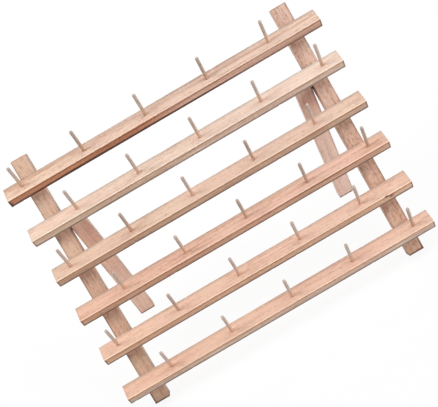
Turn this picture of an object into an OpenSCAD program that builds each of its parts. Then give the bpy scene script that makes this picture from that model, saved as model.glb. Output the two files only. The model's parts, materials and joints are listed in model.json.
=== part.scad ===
// Folding thread spool rack: pegged rails let into notched uprights, held up by two swing-out legs.
// Millimetres, +Z up, front towards -Y. The origin is on the floor, in the middle of the rack's box.

/* [Rails] */
// Length of each rail
rail_len = 400; // [340:5:460]
// Width of a rail's broad front face, which carries the pegs
rail_w = 20; // [17:0.5:24]
// Thickness of a rail
rail_t = 11; // [9:0.5:13]
// Number of rails, counted from the top
rail_count = 6; // [3:1:7]
// Angle between the rails' broad faces and the uprights
rail_tilt = 45; // [40:1:50]
// Length of rail past the outer face of each upright
rail_over = 22.75; // [19:0.25:28]
// Radius of the eased long edges of the rails, uprights and legs
ease_r = 0.5; // [0.3:0.1:1.2]

/* [Pegs] */
// Pegs on each rail
peg_count = 5; // [2:1:6]
// Diameter of a peg
peg_d = 4; // [3:0.1:6]
// Length of peg that stands out of the rail
peg_proud = 34.5; // [20:0.5:45]
// Distance from a rail's end to its end peg
peg_end = 22; // [17:0.5:26]
// Radius of the rounded rim of a peg's tip
peg_tip_r = 1.2; // [0.3:0.1:1.4]
// Depth of the hole that a peg's tenon is glued into
peg_hole_depth = 8; // [5:0.5:8]
// Width of the shoulder that seats a peg on its rail's face
peg_shoulder = 0.25; // [0.2:0.05:0.5]

/* [Uprights] */
// Length of an upright
upright_len = 320; // [290:1:380]
// Width of an upright, seen from the front
upright_w = 18.5; // [14:0.5:24]
// Depth of an upright, front to back
upright_d = 20; // [17:0.5:26]
// Distance from an upright's end to the middle of its end notch
notch_end = 30; // [22:0.5:40]

/* [Legs] */
// Width of a leg, along the pivot
leg_w = 20; // [14:0.5:24]
// Thickness of a leg
leg_t = 11; // [9:0.5:12]
// Length of a leg below its pivot
leg_below = 212; // [180:1:225]
// Rail that the legs stop against, counted from the top
stop_rail = 2; // [1:1:3]
// Distance of the pivot below the middle of that rail's notch
pivot_drop = 10; // [9:0.5:20]

/* [Pivot hardware] */
// Diameter of the pivot bolt
bolt_d = 4; // [3:0.1:5]
// Diameter of the bolt's domed head
bolt_head_d = 8; // [6:0.1:10]
// Height of the bolt's domed head
bolt_head_h = 2.4; // [1.5:0.1:3]
// Length of bolt that shows past the nut
bolt_end = 1; // [0.5:0.1:3]
// Width of the nut across its flats
nut_w = 7; // [6:0.1:9]
// Height of the nut's hexagon
nut_h = 2.4; // [2:0.1:4]
// Height of the round collar on the nut
nut_collar_h = 1.2; // [0.8:0.1:2]
// Diameter of the washers under the head and the nut
washer_d = 9; // [8:0.1:11]
// Thickness of those washers
washer_t = 0.8; // [0.5:0.1:1.5]
// Diameter of the spacer between upright and leg
spacer_d = 10; // [8:0.1:12]
// Thickness of the spacer
spacer_t = 0.6; // [0.5:0.1:4]

/* [Rail screws] */
// Diameter of a rail screw
screw_d = 3; // [2.4:0.1:3.6]
// Diameter of a rail screw's countersunk head
screw_head_d = 6; // [5:0.1:7.5]
// Height of the countersunk head
screw_head_h = 1.8; // [1.2:0.1:2.6]
// Length of a rail screw's point
screw_point = 4; // [2:0.1:5]
// Wood left in front of a rail screw's point
screw_cover = 4; // [2.5:0.1:6]
// Width of the slots in the screw and bolt heads
slot_w = 0.9; // [0.6:0.1:1.2]
// Depth of those slots
slot_depth = 1; // [0.6:0.1:1.1]

/* [Fits] */
// Glue room round a peg's tenon
peg_fit = 0.02; // [0.01:0.01:0.1]
// Room between a rail and the walls of its notch
notch_fit = 0.05; // [0.01:0.01:0.2]
// Room round a rail screw
screw_fit = 0.05; // [0.02:0.01:0.1]
// Room round the bolt in the upright, washers and nut
bolt_fit = 0.05; // [0.02:0.01:0.1]
// Running clearance between the bolt and the leg's bore
pivot_fit = 0.06; // [0.02:0.01:0.1]
// Side play of a leg between spacer and washer
leg_play = 0.1; // [0.05:0.05:0.4]
// Gap between a folded leg and the back edges of the rails
fold_gap = 0.6; // [0.4:0.1:2]
// Gap between an open leg's end and the back of the rail it stops against
stop_gap = 0.3; // [0.2:0.05:0.6]

/* [Hidden] */
$fn = 48;
cut = 1; // how far a cutting shape runs past the face that it cuts
SIDES = [["left", -1], ["right", 1]];

// Directions in the plane of an upright's side, as [back, up the upright]
along_face = [sin(rail_tilt), cos(rail_tilt)]; // up a rail's broad face
through_rail = [cos(rail_tilt), -sin(rail_tilt)]; // from a rail's front face to its back
into_leg_foot = through_rail; // an open leg stands square to the rail that it stops against

// Rails: the upper back edge of a broad face lies flush with the uprights' front faces
notch_depth = rail_t * cos(rail_tilt);
rail_pitch = (upright_len - 2 * notch_end) / (rail_count - 1);
function notch_z(i) = upright_len - notch_end - (i - 1) * rail_pitch;
function rail_edge(i) = [notch_depth, notch_z(i)] - rail_t * through_rail - rail_w * along_face;
upright_x = rail_len / 2 - rail_over - upright_w / 2;
upright_out = upright_x + upright_w / 2;

// Pegs: one rail pattern, turned end for end on every other row, staggers them by half a step
peg_r = peg_d / 2;
tenon_r = peg_r - peg_shoulder;
peg_step = (rail_len - 2 * peg_end) / (peg_count - 0.5);
function row_sign(i) = i % 2 == 1 ? 1 : -1;
function peg_x(i, j) = row_sign(i) * (peg_end + (j - 1) * peg_step - rail_len / 2);

// Legs and their pivot
pivot_y = notch_depth + fold_gap + leg_t / 2;
pivot_z = notch_z(stop_rail) - pivot_drop;
pivot = [pivot_y, pivot_z];
leg_open = 90 - rail_tilt;
leg_head = (pivot - [notch_depth, notch_z(stop_rail)]) * through_rail - stop_gap;
leg_in = upright_w + spacer_t + leg_play; // from an upright's outer face to the leg
leg_x = upright_out - leg_in - leg_w / 2;
washer_in = leg_in + leg_w + leg_play;
nut_in = washer_in + washer_t;
bolt_in = nut_in + nut_h + nut_collar_h + bolt_end;
bolt_r = bolt_d / 2;

// Rail screws
screw_r = screw_d / 2;
screw_len = upright_d - notch_depth + rail_t / cos(rail_tilt) - screw_cover;

// Stance: the uprights' lower back edges and the feet's lower front edges stand on the floor
foot_front = pivot + leg_below * into_leg_foot - leg_t / 2 * along_face;
foot_back = foot_front + leg_t * along_face;
lean = atan2(foot_front[1], foot_front[0] - upright_d);
function floor_y(p) = (p[0] - upright_d) * cos(lean) + p[1] * sin(lean);
last_edge = rail_edge(rail_count);
edge_round = last_edge + ease_r * (along_face + through_rail);
tip_round = last_edge + rail_w / 2 * along_face - (peg_proud - peg_tip_r) * through_rail
    - (peg_r - peg_tip_r) * along_face;
front_y = min(floor_y([0, 0]), floor_y(edge_round) - ease_r, floor_y(tip_round) - peg_tip_r);
back_y = max(floor_y([upright_d, upright_len]), floor_y(foot_back));
mid_y = (front_y + back_y) / 2;

// Frame of the leaning uprights: X to the right, Y back from their front faces, Z up from their lower ends
module in_panel() {
    translate([0, -mid_y, 0])
        rotate([-lean, 0, 0])
            translate([0, -upright_d, 0])
                children();
}

// Frame of a rail: X along it, Y through it from the front face, Z up the front face from the lower edge
module on_rail(i) {
    in_panel()
        translate([0, rail_edge(i)[0], rail_edge(i)[1]])
            rotate([-rail_tilt, 0, 0])
                children();
}

// Frame of a pivot: Z inwards along the bolt from the upright's outer face, Y back from the leg's middle
module on_pivot(side) {
    in_panel()
        translate([side * upright_out, pivot_y, pivot_z])
            rotate([0, -90 * side, 0])
                children();
}

// Frame of a leg: Z up the leg from its pivot, Y towards its back face
module in_leg(side) {
    in_panel()
        translate([side * leg_x, pivot_y, pivot_z])
            rotate([leg_open, 0, 0])
                children();
}

// Frames of the rail screws of one upright: Z from the upright's back face into the rail
module at_rail_screw(side, i) {
    in_panel()
        translate([side * upright_x, upright_d, notch_z(i)])
            rotate([90, 0, 0])
                children();
}

// Rectangle from the origin with round corners
module eased_rect(size, r) {
    translate([r, 0])
        square([size[0] - 2 * r, size[1]]);
    translate([0, r])
        square([size[0], size[1] - 2 * r]);
    for (x = [r, size[0] - r])
        for (y = [r, size[1] - r])
            translate([x, y])
                circle(r);
}

// Bar with eased long edges: across X by thick Y, and Z long, middled on X
module eased_bar(across, thick, long) {
    translate([-across / 2, 0, 0])
        linear_extrude(long)
            eased_rect([across, thick], ease_r);
}

// Side outline, drawn as [back, up], pushed through a width across X
module side_slab(width) {
    translate([-width / 2, 0, 0])
        rotate([90, 0, 90])
            linear_extrude(width)
                children();
}

module peg_holes(i) {
    for (j = [1:peg_count])
        translate([peg_x(i, j), -cut, rail_w / 2])
            rotate([-90, 0, 0])
                cylinder(h = peg_hole_depth + cut, r = tenon_r + peg_fit);
}

// Countersunk screw, or with grow its hole
module screw_form(grow) {
    head_r = screw_head_d / 2 + grow;
    shank_r = screw_r + grow;
    top = grow > 0 ? -cut : 0;
    rotate_extrude()
        polygon([[0, top], [head_r, top], [head_r, 0], [shank_r, screw_head_h],
            [shank_r, screw_len - screw_point], [0, screw_len + grow]]);
}

module head_slot(across) {
    translate([-across / 2, -slot_w / 2, -cut])
        cube([across, slot_w, slot_depth + cut]);
}

module ring(outer_d, thick) {
    difference() {
        cylinder(h = thick, d = outer_d);
        translate([0, 0, -cut])
            cylinder(h = thick + 2 * cut, r = bolt_r + bolt_fit);
    }
}

module rail(i) {
    color("burlywood")
        difference() {
            on_rail(i)
                side_slab(rail_len)
                    eased_rect([rail_t, rail_w], ease_r);
            on_rail(i)
                peg_holes(i);
            for (s = SIDES)
                at_rail_screw(s[1], i)
                    screw_form(screw_fit);
        }
}

module peg(i, j) {
    straight = peg_proud - peg_tip_r;
    color("tan")
        on_rail(i)
            translate([peg_x(i, j), 0, rail_w / 2])
                rotate([90, 0, 0]) {
                    cylinder(h = straight, r = peg_r);
                    translate([0, 0, -peg_hole_depth + peg_fit])
                        cylinder(h = peg_hole_depth, r = tenon_r);
                    translate([0, 0, straight])
                        peg_tip();
                }
}

// Rounded end of a peg, with a flat in its middle
module peg_tip() {
    flat_r = peg_r - peg_tip_r;
    rotate_extrude()
        intersection() {
            square([peg_r, peg_tip_r]);
            union() {
                square([flat_r, peg_tip_r]);
                translate([flat_r, 0])
                    circle(peg_tip_r);
            }
        }
}

module upright(side) {
    color("peru")
        difference() {
            in_panel()
                translate([side * upright_x, 0, 0])
                    eased_bar(upright_w, upright_d, upright_len);
            for (i = [1:rail_count]) {
                on_rail(i)
                    notch_cutter(side);
                at_rail_screw(side, i)
                    screw_form(screw_fit);
            }
            on_pivot(side)
                translate([0, 0, -cut])
                    cylinder(h = upright_w + 2 * cut, r = bolt_r + bolt_fit);
        }
}

// Block in a rail's own frame that opens the notch for its back corner
module notch_cutter(side) {
    reach = rail_w + rail_t;
    width = upright_w + 2 * cut;
    translate([side * upright_x - width / 2, rail_t + notch_fit - reach, rail_w + notch_fit - reach])
        cube([width, reach, reach]);
}

module rail_screws(side) {
    color("silver")
        for (i = [1:rail_count])
            at_rail_screw(side, i)
                difference() {
                    screw_form(0);
                    head_slot(screw_d);
                    rotate([0, 0, 90])
                        head_slot(screw_d);
                }
}

// Leg with a square foot: the back half of its head is the stop, the front half swings round the pivot
module leg(side) {
    color("rosybrown")
        in_leg(side)
            difference() {
                intersection() {
                    translate([0, -leg_t / 2, -leg_below])
                        eased_bar(leg_w, leg_t, leg_below + leg_head);
                    side_slab(leg_w + 2 * cut)
                        leg_outline();
                }
                rotate([0, 90, 0])
                    cylinder(h = leg_w + 2 * cut, r = bolt_r + pivot_fit, center = true);
            }
}

module leg_outline() {
    translate([-leg_t, -leg_below])
        square([2 * leg_t, leg_below]);
    square([leg_t, leg_head]);
    circle(leg_head);
}

module pivot_bolt(side) {
    dome_r = (pow(bolt_head_d / 2, 2) + pow(bolt_head_h, 2)) / (2 * bolt_head_h);
    color("silver")
        on_pivot(side) {
            translate([0, 0, -washer_t])
                cylinder(h = washer_t + bolt_in, r = bolt_r);
            translate([0, 0, -washer_t - bolt_head_h])
                difference() {
                    rotate_extrude()
                        intersection() {
                            square([bolt_head_d / 2, bolt_head_h]);
                            translate([0, dome_r])
                                circle(dome_r);
                        }
                    head_slot(bolt_head_d + 2 * cut);
                }
        }
}

module head_washer(side) {
    color("silver")
        on_pivot(side)
            translate([0, 0, -washer_t])
                ring(washer_d, washer_t);
}

module pivot_spacer(side) {
    color("white")
        on_pivot(side)
            translate([0, 0, upright_w])
                ring(spacer_d, spacer_t);
}

module nut_washer(side) {
    color("silver")
        on_pivot(side)
            translate([0, 0, washer_in])
                ring(washer_d, washer_t);
}

module pivot_nut(side) {
    color("silver")
        on_pivot(side)
            translate([0, 0, nut_in])
                difference() {
                    union() {
                        cylinder(h = nut_h, d = nut_w / cos(30), $fn = 6);
                        cylinder(h = nut_h + nut_collar_h, d = nut_w);
                    }
                    translate([0, 0, -cut])
                        cylinder(h = nut_h + nut_collar_h + 2 * cut, r = bolt_r + bolt_fit);
                }
}

for (i = [1:rail_count])
    rail(i);
for (i = [1:rail_count], j = [1:peg_count])
    peg(i, j);
for (s = SIDES) {
    upright(s[1]);
    rail_screws(s[1]);
    leg(s[1]);
    pivot_bolt(s[1]);
    head_washer(s[1]);
    pivot_spacer(s[1]);
    nut_washer(s[1]);
    pivot_nut(s[1]);
}
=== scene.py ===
"""Looks of the folding thread spool rack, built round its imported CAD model.

Rails, pegs, uprights and legs are eased and worn timber that stands for the CAD solids; the small
steel and nylon parts keep their CAD shape and get their finish here. Lengths are in metres.
"""
import json
import math
import random
from typing import NamedTuple

import bmesh
import bpy
from mathutils import Matrix, Quaternion, Vector, noise


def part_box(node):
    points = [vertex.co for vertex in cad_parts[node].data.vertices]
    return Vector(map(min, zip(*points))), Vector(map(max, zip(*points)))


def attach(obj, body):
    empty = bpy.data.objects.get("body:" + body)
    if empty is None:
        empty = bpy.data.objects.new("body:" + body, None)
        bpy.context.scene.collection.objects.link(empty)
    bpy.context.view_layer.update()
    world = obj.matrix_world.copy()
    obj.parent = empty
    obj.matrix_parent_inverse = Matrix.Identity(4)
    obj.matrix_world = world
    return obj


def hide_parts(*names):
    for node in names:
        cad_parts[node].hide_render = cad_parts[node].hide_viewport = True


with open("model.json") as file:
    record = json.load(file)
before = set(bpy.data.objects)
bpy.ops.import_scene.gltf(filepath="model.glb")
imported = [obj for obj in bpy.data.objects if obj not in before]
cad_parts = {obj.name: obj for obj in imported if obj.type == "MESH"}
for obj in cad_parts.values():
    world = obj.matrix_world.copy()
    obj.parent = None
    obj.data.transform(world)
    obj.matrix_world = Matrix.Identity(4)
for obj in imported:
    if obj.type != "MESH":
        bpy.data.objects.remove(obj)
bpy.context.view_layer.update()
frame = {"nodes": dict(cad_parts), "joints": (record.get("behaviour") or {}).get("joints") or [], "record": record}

MM = 0.001
NODES = frame["nodes"]
MOUNTS = {m["name"]: m for m in frame["record"]["mounts"]}
JOINTS = {j["name"]: j for j in frame["joints"]}
SIDES = ("left", "right")

# The photograph's camera: place, the point it looks at, its roll and its lens
CAMERA_AT = Vector((0.0082, -1.0073, 0.8087))
CAMERA_AIM = Vector((0.0007, -0.0062, 0.1470))
CAMERA_ROLL = math.radians(-30.53)
SENSOR_MM = 36.0
LENS_MM = 86.65

# Edges of the timber
LONG_EASE = 0.45 * MM
END_EASE = 0.35 * MM
EASE_STEPS = 3
SHARP = math.radians(38)
LONG_SHARE = 0.99  # an edge with more than this share of its run along X is a long one

# Wear of the timber
SLICE = 8 * MM  # spacing of the cross-sections that carry wear
WAVER = 0.07 * MM  # how far a hand-sanded edge strays
WAVER_ALONG, WAVER_ACROSS = 55, 180  # its cells per metre
WAVER_CLEAR = 2 * MM  # kept straight on both sides of a seat
DENT_CLEAR = 5 * MM  # kept free of knocks on both sides of a seat
DENT_FROM_END = 6 * MM
DENT_REACH_MM = (1.2, 2.8)
DENT_DEPTH_MM = (0.15, 0.4)
DENT_SECTIONS = (-1, -0.65, -0.3, 0, 0.3, 0.65, 1)  # cross-sections through a knock, in shares of its reach
RAIL_DENTS, UPRIGHT_DENTS, LEG_DENTS = 9, 8, 7
UPRIGHT_STRAY, LEG_STRAY = 100, 70  # set the wavers of uprights and legs apart
NOTCH_SEAT = 12 * MM  # half the stretch of an upright that a notch takes up

# Pegs
PEG_SIDES = 28
PEG_SECTIONS = 9
PEG_UNEVEN = 0.012  # most that a dowel's radius falls short, as a share of it
PEG_DRAW = 77  # seed of the draws for all the pegs
TENON_R, TENON_LEN, TENON_CHAMFER = 1.75 * MM, 7.98 * MM, 0.3 * MM
TENON_ROOM = 0.02 * MM
TIP_R, TIP_STEPS = 1.2 * MM, 5

# Room that the timber leaves for rails and hardware
SEAT_ROOM = 0.05 * MM  # between a rail and its notch, and round screws and bolts
TURN_ROOM = 0.06 * MM  # round the bolt that a leg turns on
CUT_PAST = 1 * MM  # how far a cut runs on past a face
CUT_SIDES = 32
SCREW_R, SCREW_HEAD_R, SCREW_HEAD_H = 1.5 * MM, 3.0 * MM, 1.8 * MM
BOLT_R = 2.0 * MM
HEAD_STEPS = 6  # flats along the rounded head of a leg

# Hardware of each side, and how its edges are broken
HARDWARE = ("rail_screws", "pivot_bolt", "head_washer", "pivot_spacer", "nut_washer", "pivot_nut")
WELD_WITHIN = 0.001 * MM
BROKEN_EDGE, BROKEN_STEPS = 0.15 * MM, 2

# Directions. Every bar is made with X along its grain, Y from front to back and Z across.
RIGHT = Vector((1, 0, 0))
BACK = Vector((0, 1, 0))
ACROSS = Vector((0, 0, 1))
PEG_OUT = Vector(MOUNTS["spool_peg_1_1"]["axis"]).normalized()
PANEL_BACK = Vector(MOUNTS["left_back"]["axis"]).normalized()
PANEL_UP = RIGHT.cross(PANEL_BACK)


def bar_frame(origin, along, back):
    """Matrix of a bar's own frame."""
    axes = Matrix((along, back, along.cross(back))).transposed()
    return Matrix.Translation(origin) @ axes.to_4x4()


def extent(node, place):
    """Lowest and highest corner of a CAD node in a bar's own frame."""
    inverse = place.inverted()
    corners = [inverse @ v.co for v in NODES[node].data.vertices]
    low = Vector([min(c[k] for c in corners) for k in range(3)])
    high = Vector([max(c[k] for c in corners) for k in range(3)])
    return low, high


def peg_base(mount):
    """Point on the rail's face that a peg stands on."""
    axis = Vector(mount["axis"]).normalized()
    return Vector(mount["pos_m"]) - axis * mount["dims"]["length_mm"] / 2 * MM


# Mesh building

def oblong(low, high):
    """Side outline of a square-cut bar."""
    return [(low.x, low.y), (high.x, low.y), (high.x, high.y), (low.x, high.y)]


def arrises(low, high):
    """Places across a bar of its four long edges."""
    return [(y, z) for y in (low.y, high.y) for z in (low.z, high.z)]


def eased_slab(outline, z_low, z_high):
    """Closed bmesh of a side outline in X and Y pushed across Z, with its sharp edges rounded."""
    bm = bmesh.new()
    side = bm.faces.new([bm.verts.new((x, y, z_low)) for x, y in outline])
    pushed = bmesh.ops.extrude_face_region(bm, geom=[side])["geom"]
    moved = [v for v in pushed if isinstance(v, bmesh.types.BMVert)]
    bmesh.ops.translate(bm, verts=moved, vec=(0, 0, z_high - z_low))
    bmesh.ops.recalc_face_normals(bm, faces=bm.faces)
    for ease, chosen in ((LONG_EASE, is_long), (END_EASE, is_end)):
        edges = [e for e in bm.edges if e.calc_face_angle() > SHARP and chosen(e)]
        bmesh.ops.bevel(bm, geom=edges, offset=ease, offset_type="OFFSET", segments=EASE_STEPS,
                        profile=0.5, affect="EDGES", clamp_overlap=True)
    return bm


def is_long(edge):
    run = edge.verts[1].co - edge.verts[0].co
    return abs(run.x) > LONG_SHARE * run.length


def is_end(edge):
    return not is_long(edge)


class Dent(NamedTuple):
    """A knock on a long edge: its middle, its reach and its depth."""
    at: Vector
    reach: float
    depth: float


def clear_of(x, seats, room):
    """Whether a place along a bar lies outside all its seats, with some room."""
    return all(not start - room < x < end + room for start, end in seats)


def dents_on(edges, low, high, count, seats, rng):
    """Knocks on a bar's long edges, clear of its seats."""
    found = []
    while len(found) < count:
        x = rng.uniform(low.x + DENT_FROM_END, high.x - DENT_FROM_END)
        y, z = rng.choice(edges)
        reach, depth = rng.uniform(*DENT_REACH_MM) * MM, rng.uniform(*DENT_DEPTH_MM) * MM
        if clear_of(x, seats, DENT_CLEAR):
            found.append(Dent(Vector((x, y, z)), reach, depth))
    return found


def wear(bm, low, high, dents, seats, stray):
    """Lets a bar's long edges waver and knocks its dents in."""
    sections = [low.x + SLICE * k for k in range(1, int((high.x - low.x) / SLICE))]
    for dent in dents:
        sections += [dent.at.x + dent.reach * share for share in DENT_SECTIONS]
    for x in sections:
        geom = bm.verts[:] + bm.edges[:] + bm.faces[:]
        bmesh.ops.bisect_plane(bm, geom=geom, plane_co=(x, 0, 0), plane_no=RIGHT)
    middle = (low + high) / 2
    for v in bm.verts:
        inward = Vector((0, middle.y - v.co.y, middle.z - v.co.z)).normalized()
        if clear_of(v.co.x, seats, WAVER_CLEAR):
            cell = Vector((v.co.x * WAVER_ALONG, v.co.y * WAVER_ACROSS, v.co.z * WAVER_ACROSS + stray))
            v.co += inward * WAVER * (0.5 + noise.noise(cell))
        for dent in dents:
            near = (v.co - dent.at).length / dent.reach
            if near < 1:
                v.co += inward * dent.depth * (1 - near * near) ** 2


def turned(rings):
    """Closed bmesh turned about X from (place along it, radius) rings."""
    bm = bmesh.new()
    angles = [2 * math.pi * k / PEG_SIDES for k in range(PEG_SIDES)]
    loops = [[bm.verts.new((x, r * math.cos(a), r * math.sin(a))) for a in angles] for x, r in rings]
    for a, b in zip(loops, loops[1:]):
        for k in range(PEG_SIDES):
            m = (k + 1) % PEG_SIDES
            bm.faces.new((a[k], a[m], b[m], b[k]))
    bm.faces.new(loops[0])
    bm.faces.new(loops[-1])
    bmesh.ops.recalc_face_normals(bm, faces=bm.faces)
    return bm


def cylinder(bm, centre, axis, radius, length, far_radius=None):
    """Adds a cutting cylinder or cone, centred on a point and running along an axis."""
    turn = ACROSS.rotation_difference(axis).to_matrix().to_4x4()
    bmesh.ops.create_cone(bm, cap_ends=True, segments=CUT_SIDES, radius1=radius,
                          radius2=radius if far_radius is None else far_radius,
                          depth=length, matrix=Matrix.Translation(centre) @ turn)


def block(bm, low, high, place):
    """Adds a cutting block between two corners of some frame."""
    middle, size = (low + high) / 2, high - low
    sized = Matrix.Translation(middle) @ Matrix.Diagonal((*size, 1))
    bmesh.ops.create_cube(bm, size=1, matrix=place @ sized)


def new_piece(name, bm, place=Matrix.Identity(4)):
    """Object of a bmesh that was made in a frame of its own."""
    mesh = bpy.data.meshes.new(name)
    bm.to_mesh(mesh)
    bm.free()
    piece = bpy.data.objects.new(name, mesh)
    piece.matrix_world = place
    bpy.context.scene.collection.objects.link(piece)
    return piece


def worn_bar(name, place, outline, bar, edges, dent_count, seats, draw, stray):
    """Eased bar with wavering, knocked long edges. draw seeds its knocks and stray its waver."""
    low, high = bar
    bm = eased_slab(outline, low.z, high.z)
    dents = dents_on(edges, low, high, dent_count, seats, random.Random(draw))
    wear(bm, low, high, dents, seats, stray)
    return new_piece(name, bm, place)


def cut(piece, cutters):
    """Takes the cutting shapes, a bmesh in the piece's own frame, out of a piece."""
    tool = new_piece("cutter", cutters, piece.matrix_world)
    step = piece.modifiers.new("cut", "BOOLEAN")
    step.operation, step.solver, step.object, step.use_self = "DIFFERENCE", "EXACT", tool, True
    bpy.context.view_layer.update()
    seen = piece.evaluated_get(bpy.context.evaluated_depsgraph_get())
    made = bpy.data.meshes.new_from_object(seen)
    piece.modifiers.clear()
    piece.data = made
    bpy.data.objects.remove(tool)


def finish_piece(piece, material, node, body):
    """Shades a piece, gives it its material and lets it stand for its CAD node."""
    mesh = piece.data
    mesh.materials.clear()
    mesh.materials.append(material)
    for polygon in mesh.polygons:
        polygon.use_smooth = True
        polygon.material_index = 0
    mesh.set_sharp_from_angle(angle=SHARP)
    even = piece.modifiers.new("even_normals", "WEIGHTED_NORMAL")
    even.keep_sharp = True
    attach(piece, body)
    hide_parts(node)


# Materials

def srgb(red, green, blue):
    """Linear colour of three display values from 0 to 255."""
    def linear(c):
        c /= 255
        return c / 12.92 if c <= 0.04045 else ((c + 0.055) / 1.055) ** 2.4
    return linear(red), linear(green), linear(blue)


class Shader:
    """The node tree of a material or a world, with short ways to add to it. Values may be sockets or
    numbers."""

    def __init__(self, owner):
        owner.use_nodes = True
        self.owner = owner
        self.tree = owner.node_tree
        self.tree.nodes.clear()

    def add(self, kind, inputs=None, **settings):
        made = self.tree.nodes.new("ShaderNode" + kind)
        for key, value in settings.items():
            setattr(made, key, value)
        for key, value in (inputs or {}).items():
            self.feed(made.inputs[key], value)
        return made

    def feed(self, socket, value):
        if isinstance(value, bpy.types.NodeSocket):
            self.tree.links.new(value, socket)
        else:
            socket.default_value = value

    def math(self, operation, *values):
        return self.add("Math", dict(enumerate(values)), operation=operation).outputs[0]

    def times(self, first, *others):
        """Product of all the values."""
        for other in others:
            first = self.math("MULTIPLY", first, other)
        return first

    def stir(self, value, by, strength):
        """A value moved up and down by a noise."""
        return self.math("MULTIPLY_ADD", self.math("SUBTRACT", by, 0.5), strength, value)

    def from_ends(self, value, low, high):
        """Distance from the nearer of two ends."""
        return self.math("MINIMUM", self.math("SUBTRACT", value, low), self.math("SUBTRACT", high, value))

    def hypotenuse(self, a, b):
        return self.math("SQRT", self.math("ADD", self.math("POWER", a, 2), self.math("POWER", b, 2)))

    def smooth(self, value, low, high, at_low=0.0, at_high=1.0):
        """Turns from one value at low to another at high, with soft ends; low may be the larger."""
        made = self.add("MapRange", {0: value, 1: low, 2: high, 3: at_low, 4: at_high},
                        interpolation_type="SMOOTHSTEP")
        return made.outputs[0]

    def vector(self, operation, *values):
        return self.add("VectorMath", dict(enumerate(values)), operation=operation).outputs[0]

    def length(self, vector):
        return self.add("VectorMath", {0: vector}, operation="LENGTH").outputs["Value"]

    def split(self, vector):
        return self.add("SeparateXYZ", {0: vector}).outputs

    def faces(self, component, way):
        """1 where a surface looks one way along an axis, turning over its eased edges."""
        return self.smooth(self.math("MULTIPLY", component, way), *FACING)

    def noise(self, vector, along, across, detail=2.0, roughness=0.5):
        """Noise stretched along X, with its cells per metre along and across the grain."""
        drawn = self.vector("MULTIPLY", vector, (along, across, across))
        made = self.add("TexNoise", {"Vector": drawn, "Scale": 1.0, "Detail": detail, "Roughness": roughness})
        return made.outputs[0]

    def mix(self, factor, a, b, blend="MIX"):
        made = self.add("Mix", {0: factor, 6: a, 7: b}, data_type="RGBA", blend_type=blend)
        return made.outputs[2]

    def tint(self, share, colour, tint):
        """A colour multiplied by a tint as far as a share says."""
        return self.mix(share, colour, (*tint, 1), "MULTIPLY")

    def ramp(self, factor, *stops):
        made = self.add("ValToRGB", {0: factor})
        marks = made.color_ramp.elements
        while len(marks) < len(stops):
            marks.new(0.5)
        for mark, (at, colour) in zip(marks, stops):
            mark.position, mark.color = at, (*colour, 1)
        return made.outputs[0]

    def bump(self, height, strength, depth):
        return self.add("Bump", {"Strength": strength, "Distance": depth, "Height": height}).outputs[0]

    def principled(self, inputs):
        return self.surface(self.add("BsdfPrincipled", inputs).outputs[0])

    def surface(self, shader):
        """Gives the owner its surface."""
        kind = "OutputWorld" if isinstance(self.owner, bpy.types.World) else "OutputMaterial"
        self.add(kind, {"Surface": shader})
        return self.owner


class Mark(NamedTuple):
    """A dark knot, streak, stain or patch of painted shade: its middle, its reach along each axis and its
    strength.
    """
    at: tuple
    reach: tuple
    strength: float = 1.0


class Edge(NamedTuple):
    """A rail's lower face: its tint by the front arris and by the back one, and how much of it shows at
    each end."""
    front: tuple
    back: tuple
    left: float = 1.0
    right: float = 1.0
    rim: float = 0.8  # strength of the dark line along the back arris, painted shade where the face turns from the light


class Wood(NamedTuple):
    """How one stick of timber differs from the next."""
    colour: tuple
    seed: float
    band: float = 1.0  # strength of the broad bands along the grain
    fleck: float = 0.3  # strength of the short dark pores
    ring: float = 0.12  # strength of the growth rings
    mottle: float = 0.15  # strength of the dark spots
    soil: float = 0.25  # strength of the dark line along the handled arrises
    edge: Edge = None
    fade: tuple = None  # tint of the low end of X against the high end; on uprights and legs, painted shade and light along their length
    inner: int = 0  # which way along Z the rack's middle lies, for a bar at one side
    side: tuple = None  # tint of the side that faces the rack's middle: painted shade on that side
    foot: tuple = None  # tint at the foot of a peg: a painted warm reflection of the rail
    gloss: float = 0.3
    marks: tuple = ()


class Grain(NamedTuple):
    """Sockets of a stick's own pattern: where its noises are read, and the noises and rings."""
    at: bpy.types.NodeSocket
    fibre: bpy.types.NodeSocket
    band: bpy.types.NodeSocket
    patch: bpy.types.NodeSocket
    pore: bpy.types.NodeSocket
    spot: bpy.types.NodeSocket
    ring: bpy.types.NodeSocket


# Pattern of the grain: cells per metre along and across it, and the values between which a noise sets in
SEED_SHARES = (1, 0.37, 0.61)  # how far a stick's seed moves its noises along each axis
FIBRE_CELLS = (30, 620)
BAND_CELLS = (5, 230)
BAND_DETAIL, BAND_ROUGHNESS = 4, 0.55
PATCH_CELLS = (16, 45)
PORE_CELLS, PORE_SHOWS = (150, 1300), (0.60, 0.72)
SPOT_CELLS, SPOT_SHOWS = (220, 430), (0.42, 0.70)
BLUSH_CELLS, BLUSH_SHOWS = (12, 60), (0.35, 0.65)
STREAK_CELLS, STREAK_SHOWS = (14, 520), (0.42, 0.62)
PITH_Y, PITH_Z = -0.045, 0.02  # from the heart of the tree to a stick
PITH_STRAY, PITH_TURN = 0.004, 9  # how that differs with the seed
RINGS_PER_M = 420
LATE_WOOD = (0.45, 0.95)  # part of a ring's width in which it darkens
WARP_CELLS, WARP_RINGS = (5, 20), 5  # the rings stray by up to that many of their widths

# Tone of the timber, from pale at 0 to dark at 1
MEAN_TONE, PLAIN_TONE = 0.42, 0.45  # on the whole, and where the plain colour shows
BAND_TONE, FIBRE_TONE, PATCH_TONE = 1.1, 0.75, 0.6
BRIGHTEST = 0.95
PALER, DARKER = (1.08, 1.10, 1.12), (0.70, 0.58, 0.50)
BLUSH = (1.0, 0.955, 0.965)
END_GRAIN = (0.72, 0.64, 0.58)

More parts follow.
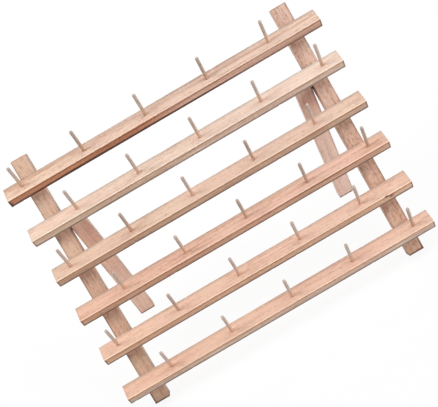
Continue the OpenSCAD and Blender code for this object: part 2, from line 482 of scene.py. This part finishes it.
# Surface of the timber
PORE_RISE, RING_RISE, FIBRE_RISE = -0.8, 0.3, 0.6
GRAIN_BUMP, GRAIN_DEPTH = 0.35, 0.15 * MM
ROUGH, BAND_ROUGH = 0.5, 0.2
FACING = (0.5, 0.9)  # share of a normal along an axis, from where a face begins to where it is full
END_FACING = (0.6, 0.95)

# Soil along the handled arrises: distances from an arris or an end where it begins and where it is full
SOIL = (0.62, 0.57, 0.54)
SOIL_LINE, SOIL_END = (2.3 * MM, 0.8 * MM), (1.5 * MM, 0.6 * MM)
SOIL_PATCHES = (0.15, 0.5)
SOIL_CORNERS = (-0.3, 0.5)  # where it sets in towards two opposite arrises of a bar at one side
SOIL_LEAST = 0.25  # share of it on the other two

# Broad face of a rail: distances from an arris and shares of half the length
# Painted highlight along the lower arris of the broad face: its tint, the distances from the arris where it begins
# and is full, its patches and its strength
ARRIS_HIGHLIGHT, HIGHLIGHT_LINE, HIGHLIGHT_PATCHES, HIGHLIGHT = (1.19, 1.19, 1.18), (2.4 * MM, 1.1 * MM), (0.2, 0.5), 0.85
PALE_END, PALE_FROM = (1.07, 1.075, 1.07), (0.55, 0.85)
GREYED, GREY_BAND, GREY_PATCHES = (0.78, 0.83, 0.86), (6.0 * MM, 1.3 * MM), (0.1, 0.45)

# Lower face of a rail
TINT_TURN = 35 * MM  # half the stretch in which its tint turns from its left to its right share
TINT_DEPTH = (0.3, 0.6)  # shares of the thickness between which the front tint gives way to the back one
TINT_STRAY = 0.4
STREAK, STREAKS = (0.76, 0.72, 0.70), 0.7
BROWN_LINE, BROWN_BAND, BROWN = (0.66, 0.53, 0.45), (3.2 * MM, 1.5 * MM), 0.8
# Dark line along the back arris and the ends of the lower face: painted shade where the arrises turn from the
# light
DARK_LINE, RIM_BAND, RIM_END = (0.30, 0.26, 0.25), (3.6 * MM, 1.8 * MM), (2 * MM, 1 * MM)

# Marks, and painted contact shade round the pegs
# Colour of knots, streaks and stains, and of the painted shade that marks also put on
KNOT_AND_SHADE = srgb(84, 50, 34)
MARK_BORDER = (1.2, 0.6)  # from where a mark begins to where it is full, in shares of its reach
MARK_RAGGED = 0.8
PEG_SHADE, PEG_SHADE_REACH, PEG_SHADE_TINT = 0.2, (3.6 * MM, 2.1 * MM), (0.66, 0.52, 0.42)
PEG_FOOT = (22 * MM, 2 * MM)  # height up a peg at which the tint of its foot, a painted reflection of the rail, begins and is full


def tinted(colour, tint):
    return tuple(min(c * t, BRIGHTEST) for c, t in zip(colour, tint))


def grain_of(s, look, place):
    """Pattern of one stick of timber."""
    at = s.vector("ADD", place, tuple(look.seed * share for share in SEED_SHARES))
    warp = s.noise(at, *WARP_CELLS, detail=1)
    heart = (0, PITH_Y, PITH_Z + PITH_STRAY * math.sin(look.seed * PITH_TURN))
    _, pith_y, pith_z = s.split(s.vector("ADD", place, heart))
    rings = s.math("MULTIPLY_ADD", s.hypotenuse(pith_y, pith_z), RINGS_PER_M, s.times(warp, WARP_RINGS))
    return Grain(at=at,
                 fibre=s.noise(at, *FIBRE_CELLS),
                 band=s.noise(at, *BAND_CELLS, detail=BAND_DETAIL, roughness=BAND_ROUGHNESS),
                 patch=s.noise(at, *PATCH_CELLS),
                 pore=s.smooth(s.noise(at, *PORE_CELLS, detail=1), *PORE_SHOWS),
                 spot=s.smooth(s.noise(at, *SPOT_CELLS, detail=3), *SPOT_SHOWS),
                 ring=s.smooth(s.math("FRACT", rings), *LATE_WOOD))


def bare_colour(s, look, grain):
    """Colour of freshly sanded timber."""
    tone = s.stir(MEAN_TONE, grain.band, BAND_TONE * look.band)
    tone = s.stir(tone, grain.fibre, FIBRE_TONE)
    tone = s.stir(tone, grain.patch, PATCH_TONE)
    tone = s.math("MULTIPLY_ADD", grain.ring, look.ring, tone)
    tone = s.math("MULTIPLY_ADD", grain.pore, look.fleck, tone)
    tone = s.math("MULTIPLY_ADD", grain.spot, look.mottle, tone)
    colour = s.ramp(tone, (0.0, tinted(look.colour, PALER)), (PLAIN_TONE, look.colour),
                    (1.0, tinted(look.colour, DARKER)))
    return s.tint(s.smooth(s.noise(grain.at, *BLUSH_CELLS), *BLUSH_SHOWS), colour, BLUSH)


def soiled(s, look, grain, at, bar, end_on):
    """Share of soil along a bar's handled arrises and round its ends."""
    low, high = bar
    _, y, z = at
    from_x, from_y, from_z = (s.from_ends(at[k], low[k], high[k]) for k in range(3))
    handled = s.smooth(s.math("MAXIMUM", from_y, from_z), *SOIL_LINE)
    if look.edge:
        handled = s.times(handled, s.smooth(z, 0, high.z / 2))
    if look.inner:
        quarter = look.inner * (high.y - low.y) * (high.z - low.z) / 4
        corner = s.times(s.math("SUBTRACT", y, (low.y + high.y) / 2), z)
        reached = s.smooth(corner, *(share * quarter for share in SOIL_CORNERS))
        handled = s.times(handled, s.math("MULTIPLY_ADD", reached, 1 - SOIL_LEAST, SOIL_LEAST))
    at_end = s.times(s.smooth(from_x, *SOIL_END), s.math("SUBTRACT", 1, end_on))
    return s.times(s.math("MAXIMUM", handled, at_end), s.smooth(grain.patch, *SOIL_PATCHES), look.soil)


def broad_face(s, look, grain, at, bar, normal_y, colour):
    """Colour of a rail whose broad face has a painted highlight along its lower arris, is greyed by the upper one
    and is pale at its ends."""
    low, high = bar
    x, _, z = at
    facing = s.faces(normal_y, -1)
    # Painted highlight along the lower arris.
    highlit = s.smooth(z, *(low.z + reach for reach in HIGHLIGHT_LINE))
    highlit = s.times(facing, highlit, s.smooth(grain.patch, *HIGHLIGHT_PATCHES), HIGHLIGHT)
    colour = s.mix(highlit, colour, (*tinted(look.colour, ARRIS_HIGHLIGHT), 1))
    paled = s.smooth(s.math("ABSOLUTE", x), *(high.x * share for share in PALE_FROM))
    colour = s.tint(s.times(facing, paled), colour, PALE_END)
    greyed = s.smooth(z, *(high.z - reach for reach in GREY_BAND))
    greyed = s.times(facing, greyed, s.smooth(grain.patch, *GREY_PATCHES))
    return s.tint(greyed, colour, GREYED)


def lower_face(s, edge, grain, at, bar, normal_z, colour):
    """Colour of a rail with the tint, the streaks and the dark lines of its lower face."""
    low, high = bar
    x, y, _ = at
    thickness = high.y - low.y
    below = s.faces(normal_z, -1)
    shown = s.times(below, s.smooth(x, -TINT_TURN, TINT_TURN, edge.left, edge.right))
    depth = s.stir(y, grain.band, TINT_STRAY * thickness)
    behind = s.smooth(depth, *(low.y + thickness * share for share in TINT_DEPTH))
    tint = s.mix(behind, (*edge.front, 1), (*edge.back, 1))
    colour = s.mix(shown, colour, tint, "MULTIPLY")
    streak = s.smooth(s.noise(grain.at, *STREAK_CELLS), *STREAK_SHOWS)
    colour = s.tint(s.times(below, streak, STREAKS), colour, STREAK)
    brown = s.smooth(y, *(low.y + reach for reach in BROWN_BAND))
    colour = s.tint(s.times(below, brown, BROWN), colour, BROWN_LINE)
    # Dark line along the back arris and the ends, painted shade.
    rim = s.math("MAXIMUM", s.smooth(y, *(high.y - reach for reach in RIM_BAND)),
                 s.smooth(s.math("ABSOLUTE", x), *(high.x - reach for reach in RIM_END)))
    return s.tint(s.times(below, rim, edge.rim), colour, DARK_LINE)


def marked(s, mark, grain, place, colour):
    """Colour with one knot, streak, stain or patch of painted shade."""
    off = s.length(s.vector("DIVIDE", s.vector("SUBTRACT", place, mark.at), mark.reach))
    dark = s.smooth(s.stir(off, grain.fibre, MARK_RAGGED), *MARK_BORDER)
    return s.mix(s.times(dark, mark.strength), colour, (*KNOT_AND_SHADE, 1))


def shaded_round_pegs(s, at, first, step, colour):
    """Colour of a rail with painted contact shade round the foot of each peg, from the first peg on in steps."""
    x, _, z = at
    off_x = s.math("PINGPONG", s.math("SUBTRACT", x, first), step / 2)
    # Painted contact shade in a ring round each peg's foot.
    stain = s.smooth(s.hypotenuse(off_x, z), *PEG_SHADE_REACH)
    return s.tint(s.times(stain, PEG_SHADE), colour, PEG_SHADE_TINT)


def wood(name, look, bar=None, pegs=None):
    """Bare sanded timber, its grain along X. bar gives the lowest and highest corner of a rail, upright or
    leg; pegs gives the place of the first peg on a rail and the step to the next."""
    s = Shader(bpy.data.materials.new(name))
    coords = s.add("TexCoord").outputs
    place = coords["Object"]
    at = s.split(place)
    normal_x, normal_y, normal_z = s.split(coords["Normal"])
    grain = grain_of(s, look, place)
    end_on = s.smooth(s.math("ABSOLUTE", normal_x), *END_FACING)

    colour = bare_colour(s, look, grain)
    # On uprights and legs the fade is painted shade and light along the length.
    if look.fade:
        low, high = bar
        colour = s.tint(s.smooth(at[0], high.x, low.x), colour, look.fade)
    # Painted shade on the side that faces the rack's middle.
    if look.side:
        colour = s.tint(s.faces(normal_z, look.inner), colour, look.side)
    if look.soil:
        colour = s.tint(soiled(s, look, grain, at, bar, end_on), colour, SOIL)
    if look.edge:
        colour = broad_face(s, look, grain, at, bar, normal_y, colour)
        colour = lower_face(s, look.edge, grain, at, bar, normal_z, colour)
    for mark in look.marks:
        colour = marked(s, mark, grain, place, colour)
    if pegs:
        colour = shaded_round_pegs(s, at, *pegs, colour)
    # Painted warm reflection of the rail on a peg's foot.
    if look.foot:
        colour = s.tint(s.smooth(at[0], *PEG_FOOT), colour, look.foot)
    else:
        colour = s.tint(end_on, colour, END_GRAIN)

    height = s.math("MULTIPLY_ADD", grain.ring, RING_RISE, s.times(grain.fibre, FIBRE_RISE))
    height = s.math("MULTIPLY_ADD", grain.pore, PORE_RISE, height)
    return s.principled({"Base Color": colour,
                         "Roughness": s.math("MULTIPLY_ADD", grain.band, BAND_ROUGH, ROUGH),
                         "Normal": s.bump(height, GRAIN_BUMP, GRAIN_DEPTH),
                         "Specular IOR Level": look.gloss})


# Finish of the hardware
ZINC_STOPS = ((0.3, srgb(176, 178, 180)), (0.55, srgb(206, 208, 209)), (0.75, srgb(196, 192, 180)))
ZINC_ROUGH, ZINC_DULL = 0.18, 0.35
ZINC_CLOUDS, ZINC_BRUSHING = (260, 260), (2500, 700)
ZINC_BUMP, ZINC_DEPTH = 0.2, 0.04 * MM
NYLON_STOPS = ((0.3, srgb(238, 235, 224)), (0.7, srgb(224, 217, 198)))
NYLON_ROUGH, NYLON_DULL = 0.35, 0.2
NYLON_CLOUDS, NYLON_TEXTURE = (180, 180), (3000, 3000)
NYLON_BUMP, NYLON_DEPTH = 0.15, 0.03 * MM
NYLON_MILK, NYLON_MILK_DEPTH = 0.15, 1 * MM


def zinc(name):
    """Bright zinc plating with faint brushing and dull patches."""
    s = Shader(bpy.data.materials.new(name))
    place = s.add("TexCoord").outputs["Object"]
    cloud = s.noise(place, *ZINC_CLOUDS, detail=3)
    brushed = s.noise(place, *ZINC_BRUSHING, detail=3)
    return s.principled({"Base Color": s.ramp(cloud, *ZINC_STOPS), "Metallic": 1.0,
                         "Roughness": s.math("MULTIPLY_ADD", cloud, ZINC_DULL, ZINC_ROUGH),
                         "Normal": s.bump(brushed, ZINC_BUMP, ZINC_DEPTH)})


def nylon(name):
    """Natural nylon: milky, a little yellowed in places, with a faint moulded texture."""
    s = Shader(bpy.data.materials.new(name))
    place = s.add("TexCoord").outputs["Object"]
    cloud = s.noise(place, *NYLON_CLOUDS, detail=3)
    moulded = s.noise(place, *NYLON_TEXTURE)
    return s.principled({"Base Color": s.ramp(cloud, *NYLON_STOPS),
                         "Roughness": s.math("MULTIPLY_ADD", cloud, NYLON_DULL, NYLON_ROUGH),
                         "Normal": s.bump(moulded, NYLON_BUMP, NYLON_DEPTH),
                         "Subsurface Weight": NYLON_MILK, "Subsurface Scale": NYLON_MILK_DEPTH})


# Timber of each piece
RAIL_FADE = (1.0, 0.97, 0.93)  # the rails' left ends are a little yellower than their right ones
RAIL_WOOD = {
    1: Wood(srgb(234, 204, 185), 1.3, band=1.5, fleck=0.55, fade=(1.06, 1.03, 0.98),
            edge=Edge(front=(0.72, 0.47, 0.31), back=(0.72, 0.47, 0.38), right=0.33, rim=0.9),
            marks=(Mark((0, 0, 0.003), (0.13, 0.004, 0.005), 0.12),
                   Mark((-0.200, 0.008, -0.010), (0.004, 0.007, 0.003), 0.8),
                   # Dark streaks along rail 1's back arris: dark wood and painted shade of the arris.
                   Mark((-0.11, 0.011, -0.010), (0.10, 0.0042, 0.002), 0.95),
                   Mark((0.01, 0.011, -0.010), (0.11, 0.0034, 0.002), 0.98))),
    2: Wood(srgb(239, 216, 199), 2.9, band=0.35, ring=0.06, fleck=0.42, fade=RAIL_FADE,
            edge=Edge(front=(0.94, 0.90, 0.83), back=(0.98, 1.00, 0.98)),
            marks=(Mark((-0.0555, 0, 0.001), (0.0014, 0.0007, 0.0007)),)),
    3: Wood(srgb(231, 202, 182), 4.1, band=0.35, ring=0.04, fleck=0.5, fade=RAIL_FADE,
            edge=Edge(front=(0.86, 0.80, 0.70), back=(0.86, 0.84, 0.79))),
    4: Wood(srgb(232, 194, 173), 5.7, band=0.8, fleck=0.5, fade=RAIL_FADE,
            edge=Edge(front=(0.86, 0.79, 0.70), back=(0.86, 0.86, 0.80)),
            marks=(Mark((0.10, 0.0015, -0.010), (0.06, 0.0016, 0.002), 0.35),)),
    5: Wood(srgb(236, 201, 179), 7.3, band=0.4, ring=0.06, fleck=0.42, fade=RAIL_FADE,
            edge=Edge(front=(0.94, 0.88, 0.76), back=(0.94, 0.96, 0.91), rim=0.9),
            marks=(Mark((0.1672, 0.0005, -0.010), (0.0028, 0.0013, 0.0010), 0.9),
                   Mark((0.1728, 0.003, -0.010), (0.0028, 0.0028, 0.0012), 0.6))),
    6: Wood(srgb(233, 196, 174), 8.8, band=0.3, ring=0.04, fleck=0.42, fade=RAIL_FADE,
            edge=Edge(front=(0.90, 0.94, 0.92), back=(0.88, 1.00, 1.06), rim=0.85)),
}
# Uprights: the fade darkens the lower ends as painted shade, and the left one's side tint is painted shade on its
# inner side.
UPRIGHT_WOOD = {
    "left": Wood(srgb(234, 198, 173), 11.2, band=0.5, mottle=0.25, soil=0.9, fade=(0.89, 0.865, 0.835),
                 inner=-1, side=(0.76, 0.77, 0.78)),
    "right": Wood(srgb(229, 196, 177), 13.6, band=0.7, mottle=0.45, soil=0.9, fade=(0.92, 0.855, 0.775),
                  inner=1),
}
# Legs: the fade lightens the feet as painted light from the floor, and the left one's side tint is painted shade
# on its inner side.
LEG_WOOD = {
    "left": Wood(srgb(238, 204, 184), 15.9, band=0.9, soil=0.7, fade=(1.08, 1.09, 1.10),
                 inner=-1, side=(0.76, 0.77, 0.79)),
    "right": Wood(srgb(232, 201, 185), 17.4, band=0.8, soil=0.7, fade=(1.13, 1.22, 1.24), inner=1),
}
PEG_COLOURS = ((197, 180, 166), (190, 172, 157), (204, 188, 174))
PEG_SEED, PEG_SEED_STEP = 20.5, 1.7
# Each peg's foot takes a painted warm reflection of its rail.
PEG_WOOD = [Wood(srgb(*colour), PEG_SEED + PEG_SEED_STEP * k, band=0.5, ring=0.1, fleck=0.15, soil=0,
                 foot=(1.26, 0.98, 0.79), gloss=0.6)
            for k, colour in enumerate(PEG_COLOURS)]

# Marks on uprights and legs: painted shade at the pivots, under the rails and where the feet meet the floor, a
# darkening towards the feet, and stains
PIVOT_SHADE_REACH = (22 * MM, 16 * MM, 1.2 * MM)  # reach of the painted shade in the narrow gap between a leg and its upright at the pivot
# strength of that painted shade on each side
PIVOT_SHADE = {"left": 0.6, "right": 0.9}
FOOT_REACH = (9 * MM, 60 * MM, 60 * MM)  # reach of the darkening towards an upright's foot
FOOT_DARKENING = {"left": 0.27, "right": 0.15}
FOOT_CONTACT_SHADE_REACH = (2.4 * MM, 60 * MM, 60 * MM)  # reach of the painted contact shade at the very end of a foot, where it meets the floor
FOOT_CONTACT_SHADE = 0.8
FOOT_ARRIS_SHADE_REACH = (24 * MM, 4 * MM, 2.2 * MM)  # reach of the painted contact shade up the outer arris of a foot
FOOT_ARRIS_SHADE = 0.7
UNDER_RAIL_SHADE_DROP = 17 * MM  # from a notch's tip down to the painted shade that the rail casts on the upright below it
UNDER_RAIL_SHADE_REACH = (13 * MM, 8 * MM, 40 * MM)
# strength of the painted shade under each rail
UNDER_RAIL_SHADE = 0.1
STAIN_REACH = (9 * MM, 6 * MM, 4.5 * MM)


class Stain(NamedTuple):
    """A spot on an upright: the notch above it, its drop below that, its place across and its strength."""
    notch: int
    drop: float
    across: float
    strength: float


UPRIGHT_STAINS = {"left": (Stain(1, 17 * MM, 7 * MM, 0.3),),
                  "right": (Stain(3, 22 * MM, 8 * MM, 0.24), Stain(4, 20 * MM, 8 * MM, 0.2))}


# Pieces

class Placed(NamedTuple):
    """A rail's own frame, and its lowest and highest corner there."""
    place: Matrix
    low: Vector
    high: Vector


def make_rail(row, look):
    """One rail, with the holes for its pegs."""
    node = f"rail_{row}"
    bases = [peg_base(MOUNTS[m]) for m in sorted(MOUNTS) if m.startswith(f"spool_peg_{row}_")]
    place = bar_frame(Vector((0, bases[0].y, bases[0].z)), RIGHT, -PEG_OUT)
    low, high = bar = extent(node, place)
    seats = [(start.x, end.x) for start, end in (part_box(f"{side}_upright") for side in SIDES)]
    shown = ((low.y, low.z), (low.y, high.z), (high.y, low.z))
    strip = worn_bar(f"rail_{row}_strip", place, oblong(low, high), bar, shown, RAIL_DENTS, seats, row, row)
    holes = bmesh.new()
    for base in bases:
        cylinder(holes, Vector((base.x, (TENON_LEN - CUT_PAST) / 2, 0)), BACK, TENON_R + TENON_ROOM,
                 TENON_LEN + 2 * TENON_ROOM + CUT_PAST)
    cut(strip, holes)
    pegs = (bases[0].x, abs(bases[1].x - bases[0].x))
    finish_piece(strip, wood(f"rail_{row}_wood", look, bar, pegs), node, "rack")
    return Placed(place, low, high)


def make_peg(name, mount, materials, rng):
    """One dowel, slightly uneven, with a tenon at its foot and a rounded tip."""
    node = name.replace("spool_", "")
    place = bar_frame(peg_base(mount), PEG_OUT, PEG_OUT.cross(RIGHT))
    low, high = extent(node, place)
    radius = mount["dims"]["r_mm"] * MM
    straight = high.x - TIP_R
    rings = [(low.x, TENON_R - TENON_CHAMFER), (low.x + TENON_CHAMFER, TENON_R), (0, TENON_R), (0, radius)]
    for k in range(1, PEG_SECTIONS):
        rings.append((straight * k / PEG_SECTIONS, radius * (1 - PEG_UNEVEN * rng.random())))
    for k in range(TIP_STEPS + 1):
        turn = math.pi / 2 * k / TIP_STEPS
        rings.append((straight + TIP_R * math.sin(turn), radius - TIP_R * (1 - math.cos(turn))))
    dowel = new_piece(f"{node}_dowel", turned(rings), place)
    finish_piece(dowel, rng.choice(materials), node, "rack")


def make_upright(side, pivot, rails):
    """One upright, notched for the rails and bored for their screws and the pivot bolt."""
    node = f"{side}_upright"
    centre_x = sum(c.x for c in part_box(node)) / 2
    at_back = Vector(MOUNTS[f"{side}_back"]["pos_m"])
    place = bar_frame(Vector((centre_x, at_back.y, at_back.z)), PANEL_UP, PANEL_BACK)
    low, high = bar = extent(node, place)
    inverse = place.inverted()
    notches = [inverse @ rail.place @ Vector((0, rail.high.y, rail.high.z)) for rail in rails]
    seats = [(n.x - NOTCH_SEAT, n.x + NOTCH_SEAT) for n in notches]
    post = worn_bar(f"{node}_post", place, oblong(low, high), bar, arrises(low, high), UPRIGHT_DENTS, seats,
                    node, centre_x * UPRIGHT_STRAY)
    cuts = bmesh.new()
    room = Vector((SEAT_ROOM,) * 3)
    for rail, notch in zip(rails, notches):
        block(cuts, rail.low - room, rail.high + room, inverse @ rail.place)
        cylinder(cuts, Vector((notch.x, high.y / 2, 0)), BACK, SCREW_R + SEAT_ROOM, high.y - low.y)
        cylinder(cuts, Vector((notch.x, high.y - SCREW_HEAD_H / 2, 0)), BACK, SCREW_R + SEAT_ROOM,
                 SCREW_HEAD_H, SCREW_HEAD_R + SEAT_ROOM)
    bolt = inverse @ pivot
    cylinder(cuts, Vector((bolt.x, bolt.y, 0)), ACROSS, BOLT_R + SEAT_ROOM, high.z - low.z + 2 * CUT_PAST)
    cut(post, cuts)
    inner_z = high.z if centre_x > 0 else low.z
    # Painted shade in the gap at the pivot and where the foot meets the floor, and a darkening towards the foot.
    marks = [Mark((bolt.x, bolt.y, inner_z), PIVOT_SHADE_REACH, PIVOT_SHADE[side]),
             Mark((low.x, 0, 0), FOOT_REACH, FOOT_DARKENING[side]),
             Mark((low.x, 0, 0), FOOT_CONTACT_SHADE_REACH, FOOT_CONTACT_SHADE),
             Mark((low.x, low.y, -inner_z), FOOT_ARRIS_SHADE_REACH, FOOT_ARRIS_SHADE)]
    # Painted shade on the upright under each rail but the lowest.
    marks += [Mark((n.x - UNDER_RAIL_SHADE_DROP, low.y, 0), UNDER_RAIL_SHADE_REACH, UNDER_RAIL_SHADE) for n in notches[:-1]]
    marks += [Mark((notches[stain.notch].x - stain.drop, low.y, stain.across), STAIN_REACH, stain.strength)
              for stain in UPRIGHT_STAINS[side]]
    look = UPRIGHT_WOOD[side]._replace(marks=tuple(marks))
    finish_piece(post, wood(f"{node}_wood", look, bar), node, "rack")
    return centre_x


def make_leg(side, pivot, centre_x):
    """One leg, its head rounded about the pivot where it turns behind the second rail."""
    node = f"{side}_leg"
    place = bar_frame(pivot, PEG_OUT, PEG_OUT.cross(RIGHT))
    low, high = bar = extent(node, place)
    shoulder = math.acos(-low.y / high.x)
    angles = [shoulder + (math.pi / 2 - shoulder) * k / HEAD_STEPS for k in range(HEAD_STEPS + 1)]
    head = [(high.x * math.sin(a), -high.x * math.cos(a)) for a in angles]
    outline = [(low.x, low.y)] + head + [(high.x, high.y), (low.x, high.y)]
    bearing = [(-2 * BOLT_R, high.x)]
    stick = worn_bar(f"{node}_stick", place, outline, bar, arrises(low, high), LEG_DENTS, bearing,
                     node, centre_x * LEG_STRAY)
    bore = bmesh.new()
    cylinder(bore, Vector(), ACROSS, BOLT_R + TURN_ROOM, high.z - low.z + 2 * CUT_PAST)
    cut(stick, bore)
    outer_z = low.z if centre_x > 0 else high.z
    # Painted shade in the gap at the pivot and where the foot meets the floor.
    look = LEG_WOOD[side]._replace(marks=(Mark((0, 0, outer_z), PIVOT_SHADE_REACH, PIVOT_SHADE[side]),
                                          Mark((low.x, 0, 0), FOOT_CONTACT_SHADE_REACH, FOOT_CONTACT_SHADE)))
    finish_piece(stick, wood(f"{node}_wood", look, bar), node, f"{side}_leg")


def finish_hardware(piece, material):
    """Gives a CAD part its material and breaks its edges."""
    piece.data.materials.clear()
    piece.data.materials.append(material)
    joined = piece.modifiers.new("join", "WELD")
    joined.merge_threshold = WELD_WITHIN
    broken = piece.modifiers.new("broken_edges", "BEVEL")
    broken.limit_method, broken.angle_limit = "ANGLE", SHARP
    broken.width, broken.segments = BROKEN_EDGE, BROKEN_STEPS


all_rails = [make_rail(row, look) for row, look in RAIL_WOOD.items()]

peg_materials = [wood(f"peg_wood_{k}", look) for k, look in enumerate(PEG_WOOD, 1)]
peg_rng = random.Random(PEG_DRAW)
for mount_name, peg_mount in MOUNTS.items():
    if mount_name.startswith("spool_peg_"):
        make_peg(mount_name, peg_mount, peg_materials, peg_rng)

for side in SIDES:
    pivot_at = Vector(JOINTS[f"{side}_leg_fold"]["pos_m"])
    upright_x = make_upright(side, pivot_at, all_rails)
    make_leg(side, pivot_at, upright_x)

steel, milky = zinc("zinc_steel"), nylon("nylon")
for side in SIDES:
    for part in HARDWARE:
        finish_hardware(NODES[f"{side}_{part}"], milky if part == "pivot_spacer" else steel)


# Floor, world, lamps and camera
WHITE = (1, 1, 1, 1)
FLOOR_SIZE = 30.0
FLOOR_STOPS = ((0.3, (0.94, 0.94, 0.94)), (0.7, (0.96, 0.96, 0.96)))
FLOOR_CLOUDS = (6, 6)
FLOOR_ROUGH, FLOOR_GLOSS = 0.9, 0.1
FLOOR_GLOW = 0.92  # share of plain white in what the camera sees of the near floor; the rest takes light
FLOOR_NEAR, FLOOR_FAR = 0.5, 2.0  # between these distances the floor turns to plain white
SKY = 0.16


class Lamp(NamedTuple):
    """An oblong lamp that faces the rack."""
    at: tuple
    wide: float
    deep: float
    watts: float
    colour: tuple = (1, 1, 1)


LAMP_AIM = Vector((0, 0, 0.15))
LAMPS = {
    "left_key": Lamp((-1.95, -0.55, 3.18), 1.5, 1.5, 53.0),
    "right_key": Lamp((1.5, -0.75, 3.36), 1.5, 1.5, 29.0),
    "overhead": Lamp((0, -0.15, 3.1), 3.0, 1.8, 21.0),
    "low_fill": Lamp((1.35, -0.85, 0.35), 1.0, 0.6, 8.0, (0.97, 0.99, 1.06)),
    "back_fill": Lamp((0, 2.4, 0.9), 1.6, 1.0, 32.0),
}


def seen_directly(s):
    """1 for rays from the camera, also by way of gloss or glass."""
    path = s.add("LightPath").outputs
    glossy = s.math("MAXIMUM", path["Is Glossy Ray"], path["Is Transmission Ray"])
    return s.math("MAXIMUM", path["Is Camera Ray"], glossy)


def pale_floor(name):
    """White floor that keeps a faint shadow."""
    s = Shader(bpy.data.materials.new(name))
    place = s.add("TexCoord").outputs["Object"]
    colour = s.ramp(s.noise(place, *FLOOR_CLOUDS), *FLOOR_STOPS)
    lit = s.add("BsdfPrincipled", {"Base Color": colour, "Roughness": FLOOR_ROUGH,
                                   "Specular IOR Level": FLOOR_GLOSS}).outputs[0]
    glow = s.add("Emission", {"Color": WHITE, "Strength": 1.0}).outputs[0]
    plain = s.smooth(s.length(place), FLOOR_NEAR, FLOOR_FAR, FLOOR_GLOW, 1.0)
    share = s.times(seen_directly(s), plain)
    return s.surface(s.add("MixShader", {0: share, 1: lit, 2: glow}).outputs[0])


def studio(name):
    """World that lights the rack softly and looks plain white."""
    s = Shader(bpy.data.worlds.new(name))
    soft = s.add("Background", {"Color": WHITE, "Strength": SKY}).outputs[0]
    white = s.add("Background", {"Color": WHITE, "Strength": 1.0}).outputs[0]
    return s.surface(s.add("MixShader", {0: seen_directly(s), 1: soft, 2: white}).outputs[0])


def turn_to(piece, at, aim, roll=0.0):
    """Puts a lamp or camera at a point and lets it look at another, with a roll about its view."""
    piece.location = at
    piece.rotation_mode = "QUATERNION"
    piece.rotation_quaternion = (aim - at).to_track_quat("-Z", "Y") @ Quaternion(ACROSS, roll)
    bpy.context.scene.collection.objects.link(piece)


floor_mesh = bmesh.new()
bmesh.ops.create_grid(floor_mesh, x_segments=1, y_segments=1, size=FLOOR_SIZE / 2)
floor = new_piece("floor", floor_mesh)
floor.data.materials.append(pale_floor("pale_floor"))

scene = bpy.context.scene
scene.view_settings.view_transform = "Standard"
scene.world = studio("studio")

for lamp_name, lamp in LAMPS.items():
    softbox = bpy.data.lights.new(lamp_name, "AREA")
    softbox.shape, softbox.size, softbox.size_y = "RECTANGLE", lamp.wide, lamp.deep
    softbox.energy, softbox.color = lamp.watts, lamp.colour
    turn_to(bpy.data.objects.new(lamp_name, softbox), Vector(lamp.at), LAMP_AIM)

camera = bpy.data.objects.new("camera", bpy.data.cameras.new("camera"))
camera.data.sensor_width, camera.data.lens = SENSOR_MM, LENS_MM
turn_to(camera, CAMERA_AT, CAMERA_AIM, CAMERA_ROLL)
scene.camera = camera
